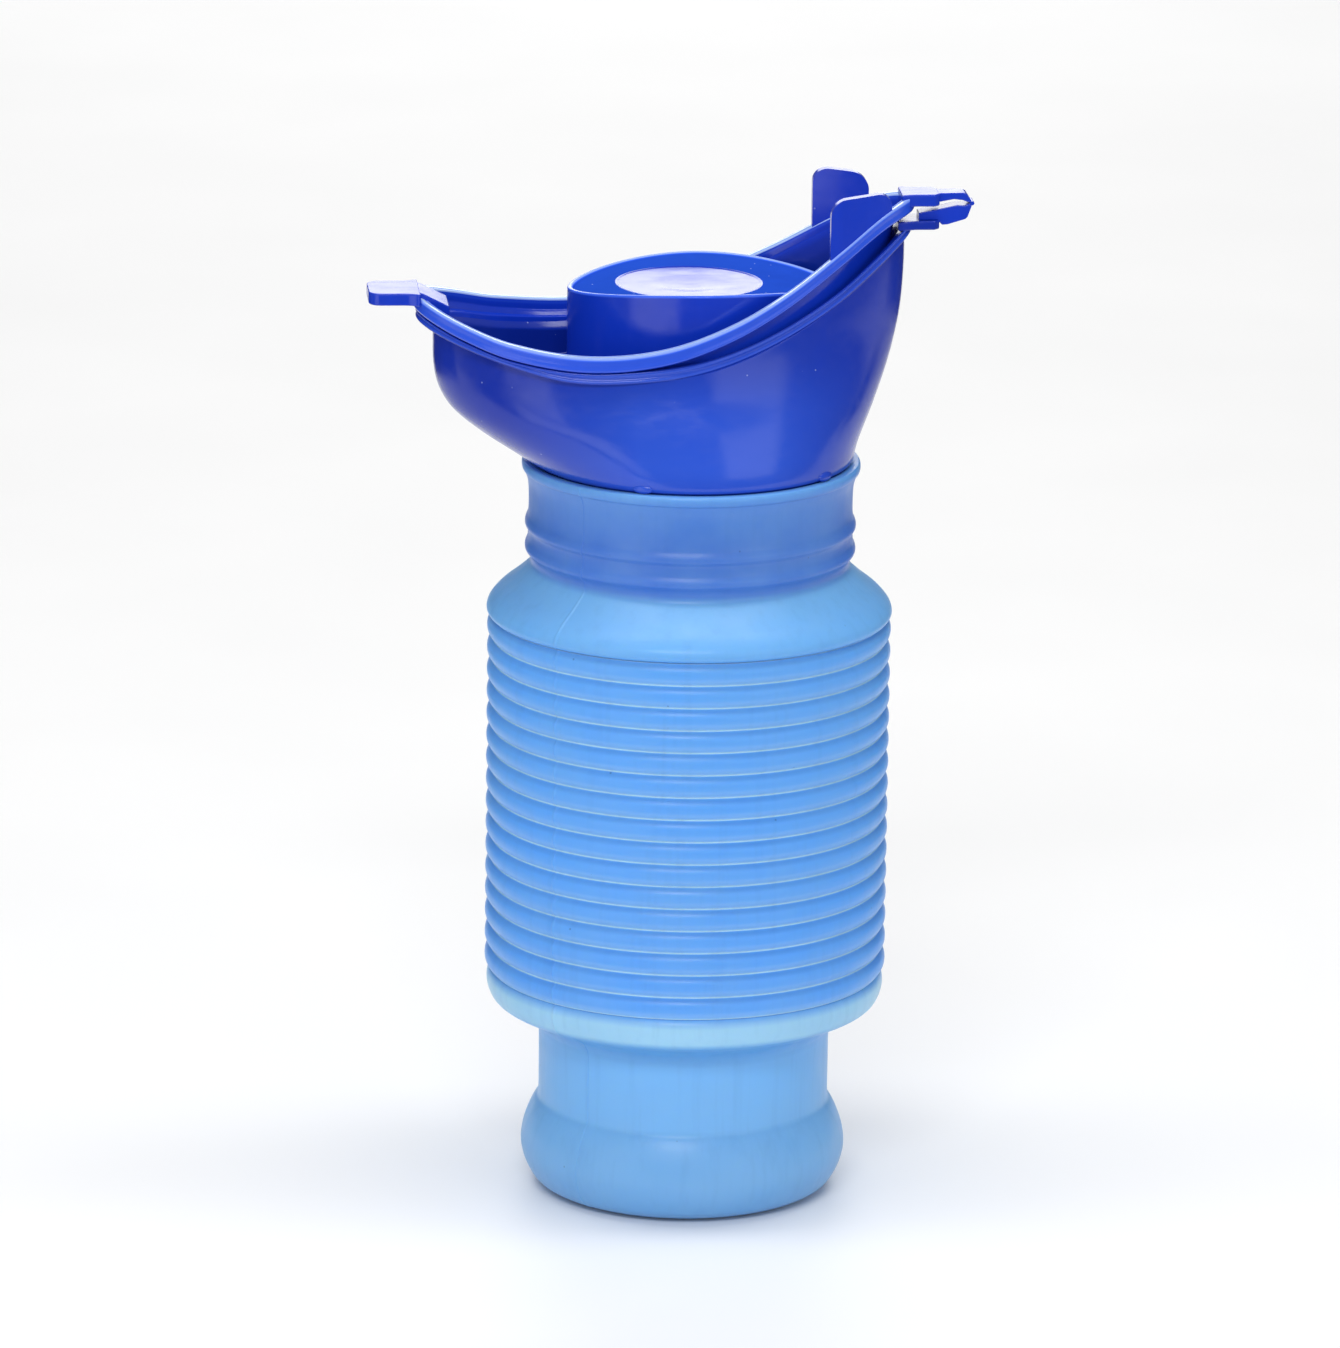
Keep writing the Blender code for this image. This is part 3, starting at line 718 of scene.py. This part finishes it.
def funnel_section(angle):
    """One closed outline of the funnel: up the outside, over the flange and down the inside."""
    c, s = math.cos(angle), math.sin(angle)
    seat_z = COLLAR_TOP_Z + GAP
    corners = [((SKIRT_BORE_R * c, SKIRT_BORE_R * s, SKIRT_LOW_Z), 0.3),
               ((SKIRT_R * c, SKIRT_R * s, SKIRT_LOW_Z), 0.5),
               ((SKIRT_R * c, SKIRT_R * s, seat_z), 0.0),
               ((SEAT_R * c, SEAT_R * s, seat_z), 0.25)]
    base_z = seat_z + 0.7
    under = wall_top(angle, flange_edge)
    over = wall_top(angle, flange_top, FUNNEL_WALL)
    steps = [i / WALL_ROWS for i in range(WALL_ROWS + 1)]
    corners += [(wall_point(angle, mixed(base_z, under[2] - 0.6, step)), 0.0) for step in steps]
    mid = 0.5 * FLANGE_HEIGHT
    # the third numbers on the flange's corners are tones: painted highlight lines along the flange
    corners += [(under, 0.5),
                (on_rim(angle, FLANGE_INSET + 0.1, flange_edge), 0.35),
                (on_rim(angle, FLANGE_INSET, flange_edge, -0.5), 0.2, 0.16),
                (on_rim(angle, FLANGE_INSET + 0.45, flange_edge, -mid), 0.5, 0.10),
                (on_rim(angle, FLANGE_INSET, flange_top, 0.5), 0.2, 0.14),
                (on_rim(angle, FLANGE_INSET + 0.1, flange_top), 0.35, 0.06),
                (over, 0.6)]
    corners += [(wall_point(angle, mixed(over[2] - 0.6, base_z, step), FUNNEL_WALL), 0.0)
                for step in steps]
    corners.append(((SKIRT_BORE_R * c, SKIRT_BORE_R * s, COLLAR_TOP_Z - 1.5), 0.8))
    return corners


def finger(root_x, flare, levels):
    """A flat finger that reaches out of the hinge end: wider at its root, cut off at its corners."""
    w = FINGER_HALF_WIDTH
    half = [(root_x, w + flare), (FINGER_NECK_X, w), (FINGER_END_X - FINGER_CORNER, w),
            (FINGER_END_X, w - FINGER_CORNER)]
    return slab(half + [(x, -y) for x, y in reversed(half)], "z", *levels)


def build_funnel():
    """The funnel with its spigot, the finger that carries the strap and the seating lugs."""
    sections = [funnel_section(a) for a in angles()]
    finish("funnel_shell", swept(sections), FUNNEL, "funnel", ("funnel",))
    bm = finger(FUNNEL_FINGER_ROOT_X, 1.2, LOWER_FINGER_Z)
    round_edges(finish("funnel_finger", bm, FUNNEL, "funnel"), 0.35)
    for i, degrees in enumerate(LUG_ANGLES):
        a = math.radians(degrees)
        bm = bmesh.new()
        bmesh.ops.create_uvsphere(bm, u_segments=24, v_segments=12, radius=1.0)
        scale = Matrix.Diagonal((*LUG_HALF_SIZES, 1.0))
        centre = Matrix.Translation((LUG_R * math.cos(a), LUG_R * math.sin(a), LUG_Z))
        bmesh.ops.transform(bm, matrix=centre @ Matrix.Rotation(a, 4, "Z") @ scale, verts=bm.verts)
        finish(f"funnel_lug_{i + 1}", bm, FUNNEL, "funnel")


# ---- strap -----------------------------------------------------------------------------------
def build_strap():
    """Two links, given as (x, z) outlines, and the thin round fold between them."""
    w = STRAP_HALF_WIDTH
    upper = [(FINGER_END_X - 1.2, 215.5), (54.6, 216.3), (56.4, 216.1),
             (HINGE_X - 0.45, HINGE_Z + 0.12), (HINGE_X - 0.12, HINGE_Z + 0.46),
             (57.4, 217.35), (56.6, 217.7), (FINGER_END_X - 1.2, 217.6)]
    lower = [(47.2, 211.9), (FINGER_END_X - 0.4, 211.9), (52.2, 210.8), (53.4, 210.9),
             (57.1, 212.0), (57.6, 212.5), (HINGE_X - 0.05, HINGE_Z - 0.47),
             (HINGE_X - 0.45, HINGE_Z - 0.05), (56.9, 214.9), (55.3, 215.0), (50.4, 214.0),
             (47.2, 213.4)]
    for name, outline, body, slot in (
            ("strap_upper", upper, "lid", "strap_upper_link"),
            ("strap_lower", lower, "funnel", "strap_lower_link")):
        link = finish(name, slab(outline, "y", -w, w), LID, body, (slot,))
        round_edges(link, 0.22)
    turns = [math.tau * i / WEB_SIDES for i in range(WEB_SIDES)]
    fold = [(HINGE_X + WEB_R * math.cos(a), HINGE_Z + WEB_R * math.sin(a)) for a in turns]
    web = finish("strap_web", slab(fold, "y", -w, w), LID, "funnel", ("strap_fold",))
    round_edges(web, 0.1, 2)


# ---- lid -------------------------------------------------------------------------------------
def plug_point(angle, depth, inset=0.0):
    """A point of the plug's side, this far below the underside of the rim."""
    x, y, z = wall_top(angle, rim_under, FUNNEL_WALL + PLUG_CLEARANCE)
    c, s = abs(math.cos(angle)), abs(math.sin(angle))
    draft = HINGE_END_DRAFT if x > 0 else TAB_END_DRAFT
    in_x = (draft * depth * c + inset) * c
    in_y = (SIDE_DRAFT * depth + inset) * s
    return (x - math.copysign(in_x, x), y - math.copysign(in_y, y), z - depth)


def plug_at(angle, z, inset=0.0):
    """A point of the plug's side at this height."""
    top = wall_top(angle, rim_under, FUNNEL_WALL + PLUG_CLEARANCE)[2]
    return plug_point(angle, top - z, inset)


def lid_section(angle):
    """One closed outline of the tray: rim band, step, plug wall and the floor round the drum."""
    hole = drum_point(angle, DRUM_WALL + GAP)
    foot = drum_point(angle, -0.4)
    floor_top = PLUG_FLOOR_Z + PLUG_WALL
    step = plug_point(angle, PLUG_STEP, PLUG_WALL)
    # the tones paint a highlight along the rim's top edge and shade down the inside of the tray
    corners = [(on_rim(angle, inset, lid_edge, depth), radius, tone)
               for inset, depth, radius, tone in RIM_CORNERS]
    # negative tones paint shade down the inside of the tray
    corners.append((step, 1.2, -0.6))
    parts = [i / PLUG_ROWS for i in range(1, PLUG_ROWS)]
    corners += [(plug_at(angle, mixed(step[2], floor_top, part), PLUG_WALL), 0.0, -0.75)
                for part in parts]
    corners += [(plug_at(angle, floor_top, PLUG_WALL), 2.2, -0.8),
                ((*foot, floor_top), 0.5, -0.8),
                ((*hole, floor_top), 0.0),
                ((*hole, PLUG_FLOOR_Z), 0.0),
                (plug_at(angle, PLUG_FLOOR_Z), 1.2)]
    corners += [(plug_at(angle, mixed(PLUG_FLOOR_Z, step[2], part)), 0.0) for part in parts]
    corners.append((plug_point(angle, 0.0), 0.4))
    return corners


def build_ear(side, name):
    """An upright plate with rounded corners that stands on the rim and follows its curve."""
    low_x, high_x = NEAR_EAR_X if side < 0 else FAR_EAR_X
    bm = bmesh.new()
    rings = []
    for i in range(EAR_COLUMNS + 1):
        x = mixed(low_x, high_x, 0.5 - 0.5 * math.cos(math.pi * i / EAR_COLUMNS))
        into_corner = max(EAR_CORNER - (x - low_x), EAR_CORNER - (high_x - x), 0.0)
        top = EAR_TOP_Z - EAR_CORNER + math.sqrt(max(EAR_CORNER ** 2 - into_corner ** 2, 0.0))
        outer = rim_point(math.acos((x - RIM_CENTRE_X) / RIM_HALF_LENGTH))[1] - 0.3
        inner = outer - EAR_THICKNESS
        foot = lid_edge(x) - EAR_ROOT_DEPTH
        rings.append([bm.verts.new((x, side * y, z))
                      for y, z in ((outer, foot), (outer, top), (inner, top), (inner, foot))])
    bm.faces.new(rings[0])
    bm.faces.new(rings[-1])
    for ring, following in zip(rings, rings[1:]):
        for k in range(4):
            n = (k + 1) % 4
            bm.faces.new((ring[k], ring[n], following[n], following[k]))
    round_edges(finish(name, bm, LID, "lid", sharp=30.0), 0.45)


def tab_outline():
    """Plan of the thumb tab: rounded corners at its end and a small flare at its root."""
    w = TAB_HALF_WIDTH
    turns = [math.radians(15 * k) for k in range(7)]
    end = [(TAB_END_X + TAB_CORNER * (1 - math.sin(a)), w - TAB_CORNER + TAB_CORNER * math.cos(a))
           for a in turns]
    flare = spline([(-62.5, w), (-60.8, w + 0.1), (-59.4, w + 0.5), (-58.4, w + TAB_FLARE)], 4)
    half = end[::-1] + flare + [(TAB_INNER_X, w + TAB_FLARE)]
    return half + [(x, -y) for x, y in reversed(half)]


def build_lid():
    """The tray with its thumb tab, the finger that carries the strap and the two ears."""
    sections = [lid_section(a) for a in angles()]
    finish("lid_shell", swept(sections), LID, "lid", ("lid_tray",))
    tab = slab(tab_outline(), "z", *TAB_Z)
    round_edges(finish("thumb_tab", tab, LID, "lid"), 0.5)
    root = slab(TAB_ROOT, "y", -TAB_ROOT_HALF_WIDTH, TAB_ROOT_HALF_WIDTH)
    round_edges(finish("thumb_tab_root", root, LID, "lid"), 0.3)
    bm = finger(LID_FINGER_ROOT_X, 0.6, UPPER_FINGER_Z)
    round_edges(finish("lid_finger", bm, LID, "lid"), 0.4)
    build_ear(-1, "ear_near")
    build_ear(1, "ear_far")


def drum_point(angle, inset=0.0):
    """A point of the drum's lens-shaped plan, moved in by the inset."""
    c, s = math.cos(angle), math.sin(angle)
    power = 2.0 / DRUM_POWER
    return (DRUM_CENTRE_X + (DRUM_HALF_LENGTH - inset) * math.copysign(abs(c) ** power, c),
            (DRUM_HALF_WIDTH - inset) * math.copysign(abs(s) ** power, s))


def drum_lip(x):
    """Height of the drum's lip."""
    return DRUM_TOP_Z - DRUM_ARCH * (x - DRUM_CROWN_X) ** 2


def in_dish(angle, s, z):
    """A point of the dish, the fraction s of its radius out from its centre."""
    return (DISH_CENTRE_X + s * DISH_R * math.cos(angle), s * DISH_R * math.sin(angle), z)


def drum_section(angle):
    """One closed outline of the drum: up the side, over the lip, down the slope and into the dish."""
    floor_z = PLUG_FLOOR_Z + PLUG_WALL + 0.02
    under_z = DISH_Z - DRUM_UNDER
    x, y = drum_point(angle)
    lip = drum_lip(x)
    inside = drum_point(angle, DRUM_WALL)
    slope_x, slope_y = drum_point(angle, 1.9)
    slope_z = lip - 0.65
    dish_x, dish_y, dish_z = in_dish(angle, 1.0, DISH_Z + 0.12)
    corners = [((x, y, floor_z), 0.0),
               ((x, y, mixed(floor_z, lip, 0.5)), 0.0),
               ((x, y, lip - 0.70), 0.0),
               # tones: painted highlight along the drum's lip
               ((x, y, lip - 0.15), 0.30, 0.30),
               ((*drum_point(angle, 0.75), lip), 0.30, 0.65),
               ((*drum_point(angle, 1.5), lip - 0.75), 0.3),
               ((slope_x, slope_y, slope_z), 0.2)]
    for i in range(1, SLOPE_ROWS):
        s = i / SLOPE_ROWS
        z = mixed(slope_z, dish_z, s) - 0.25 * math.sin(math.pi * s)
        corners.append(((mixed(slope_x, dish_x, s), mixed(slope_y, dish_y, s), z), 0.0))
    corners += [((dish_x, dish_y, dish_z), 0.3),
                (in_dish(angle, 0.975, DISH_Z - 0.06), 0.3)]
    corners += [(in_dish(angle, s, DISH_Z - drop), 0.0) for s, drop in DISH_DROPS]
    corners += [(in_dish(angle, 0.0, under_z), 0.0),
                ((*inside, under_z), 1.0),
                ((*inside, floor_z), 0.0)]
    return corners


def build_drum():
    """Raised centre of the lid: a hollow drum, open below, with a round dish in its grained top."""
    sections = [drum_section(a) for a in angles()]
    drum = finish("drum_shell", swept(sections), LID, "lid", ("lid_drum",))
    drum.data.materials.append(GRAINED)
    for face in drum.data.polygons:
        centre = face.center / MM
        on_slope = face.normal.z > 0.3 and centre.z > DISH_Z - 1.6
        off_dish = math.hypot(centre.x - DISH_CENTRE_X, centre.y) > DISH_R + 0.1
        if on_slope and off_dish and centre.z < drum_lip(centre.x) - 0.3:
            face.material_index = 1


# ---- studio ----------------------------------------------------------------------------------
FLOOR_RADIUS = 1.05       # metres, as are all places and sizes of the studio
FLOOR_BACK = 0.70         # moves the floor's centre back, so that upright walls mirror little of it
AMBIENT = 0.45            # world light on surfaces
AMBIENT_IN_GLOSS = 0.15   # in reflections
BACKDROP = 1.05           # behind the object


def build_floor():
    """A round pale floor just under the base."""
    bm = bmesh.new()
    bmesh.ops.create_circle(bm, cap_ends=True, segments=128, radius=FLOOR_RADIUS)
    mesh = bpy.data.meshes.new("floor")
    bm.to_mesh(mesh)
    bm.free()
    floor = bpy.data.objects.new("floor", mesh)
    floor.location = (0.0, FLOOR_BACK, -0.0002)
    bpy.context.collection.objects.link(floor)
    n = Nodes("pale_floor")
    tint = n.ramp(n.noise(9.0, 2.0), [(0.3, (0.955, 0.955, 0.955)), (0.7, (0.98, 0.98, 0.98))])
    n.link(tint, n.shader.inputs["Base Color"])
    n.shader.inputs["Roughness"].default_value = 0.6
    floor.data.materials.append(n.material)


def build_world():
    """White surroundings, dimmer in reflections and brightest behind the object."""
    world = bpy.data.worlds.new("studio")
    bpy.context.scene.world = world
    world.use_nodes = True
    tree = world.node_tree
    background = tree.nodes["Background"]
    background.inputs["Color"].default_value = (1.0, 1.0, 1.0, 1.0)
    path = tree.nodes.new("ShaderNodeLightPath")
    level = AMBIENT
    for ray, strength in (("Is Glossy Ray", AMBIENT_IN_GLOSS), ("Is Camera Ray", BACKDROP)):
        mix = tree.nodes.new("ShaderNodeMix")
        if isinstance(level, float):
            mix.inputs[2].default_value = level
        else:
            tree.links.new(level, mix.inputs[2])
        mix.inputs[3].default_value = strength
        tree.links.new(path.outputs[ray], mix.inputs[0])
        level = mix.outputs[0]
    tree.links.new(level, background.inputs["Strength"])


def facing(place, target):
    """The rotation that turns an object at this place towards the target."""
    return (Vector(place) - Vector(target)).to_track_quat("Z", "Y").to_euler()


def panel(name, place, target, size, radiance):
    """A soft rectangular light of this radiance, which the camera doesn't see."""
    data = bpy.data.lights.new(name, "AREA")
    data.shape = "RECTANGLE"
    data.size, data.size_y = size
    data.energy = radiance * math.pi * size[0] * size[1]
    light = bpy.data.objects.new(name, data)
    light.location = place
    light.rotation_euler = facing(place, target)
    light.visible_camera = False
    bpy.context.collection.objects.link(light)


def card(name, place, target, size, shade):
    """A plain card that only reflections see; it keeps the bright studio out of them."""
    width, height = size
    bm = bmesh.new()
    signs = ((-1, -1), (1, -1), (1, 1), (-1, 1))
    corners = [(x * width / 2, y * height / 2, 0.0) for x, y in signs]
    bm.faces.new([bm.verts.new(corner) for corner in corners])
    mesh = bpy.data.meshes.new(name)
    bm.to_mesh(mesh)
    bm.free()
    obj = bpy.data.objects.new(name, mesh)
    obj.location = place
    obj.rotation_euler = facing(place, target)
    obj.visible_camera = False
    obj.visible_diffuse = False
    obj.visible_shadow = False
    bpy.context.collection.objects.link(obj)
    n = Nodes(name)
    n.shader.inputs["Base Color"].default_value = (shade, shade, shade, 1.0)
    n.shader.inputs["Roughness"].default_value = 0.9
    obj.data.materials.append(n.material)


def build_lights():
    """Two cards behind the object and six panels round it: name, place, target, size, strength."""
    card("left_card", (-0.42, 0.36, 0.16), (0, 0, 0.16), (0.62, 0.60), 0.02)
    card("right_card", (0.50, 0.36, 0.16), (0, 0, 0.16), (0.55, 0.60), 0.05)
    panel("backdrop_glow", (0.12, 1.7, 0.68), (0, 0, 0.18), (0.9, 0.7), 2.6)
    panel("front_top", (-0.30, -1.6, 1.30), (0, 0, 0.12), (0.9, 0.34), 13.0)
    panel("front_right", (0.95, -1.25, 0.42), (0, 0, 0.15), (1.0, 0.75), 1.1)
    panel("front_left", (-1.20, -1.05, 0.42), (0, 0, 0.15), (0.60, 0.75), 1.3)
    panel("overhead", (0.0, -0.1, 1.6), (0, 0, 0.1), (1.7, 0.4), 5.2)
    panel("low_front_left", (-0.88, -0.96, -0.13), (0, 0, 0.19), (0.80, 0.30), 1.3)


def build_camera():
    """A long lens at a modest height, aimed a little above the middle of the object."""
    yaw = math.radians(CAMERA_YAW)
    pitch = math.atan2(CAMERA_HEIGHT - AIM_Z, CAMERA_DISTANCE)
    roll = math.radians(CAMERA_ROLL)
    forward = Vector((math.sin(yaw) * math.cos(pitch), math.cos(yaw) * math.cos(pitch),
                      -math.sin(pitch)))
    level_right = Vector((math.cos(yaw), -math.sin(yaw), 0.0))
    level_up = level_right.cross(forward)
    right = level_right * math.cos(roll) + level_up * math.sin(roll)
    up = level_up * math.cos(roll) - level_right * math.sin(roll)
    place = Vector((-CAMERA_DISTANCE * math.sin(yaw), -CAMERA_DISTANCE * math.cos(yaw),
                    CAMERA_HEIGHT)) - right * AIM_LEFT
    data = bpy.data.cameras.new("camera")
    data.lens = LENS
    data.sensor_width = SENSOR
    data.sensor_fit = "HORIZONTAL"
    data.clip_end = 50.0
    camera = bpy.data.objects.new("camera", data)
    turn = Matrix((right, up, -forward)).transposed().to_4x4()
    camera.matrix_world = Matrix.Translation(place * MM) @ turn
    bpy.context.collection.objects.link(camera)
    bpy.context.scene.camera = camera


build_foot()
build_bellows()
build_collar()
build_funnel()
build_strap()
build_lid()
build_drum()
build_floor()
build_world()
build_lights()
build_camera()
bpy.context.scene.view_settings.view_transform = "Standard"
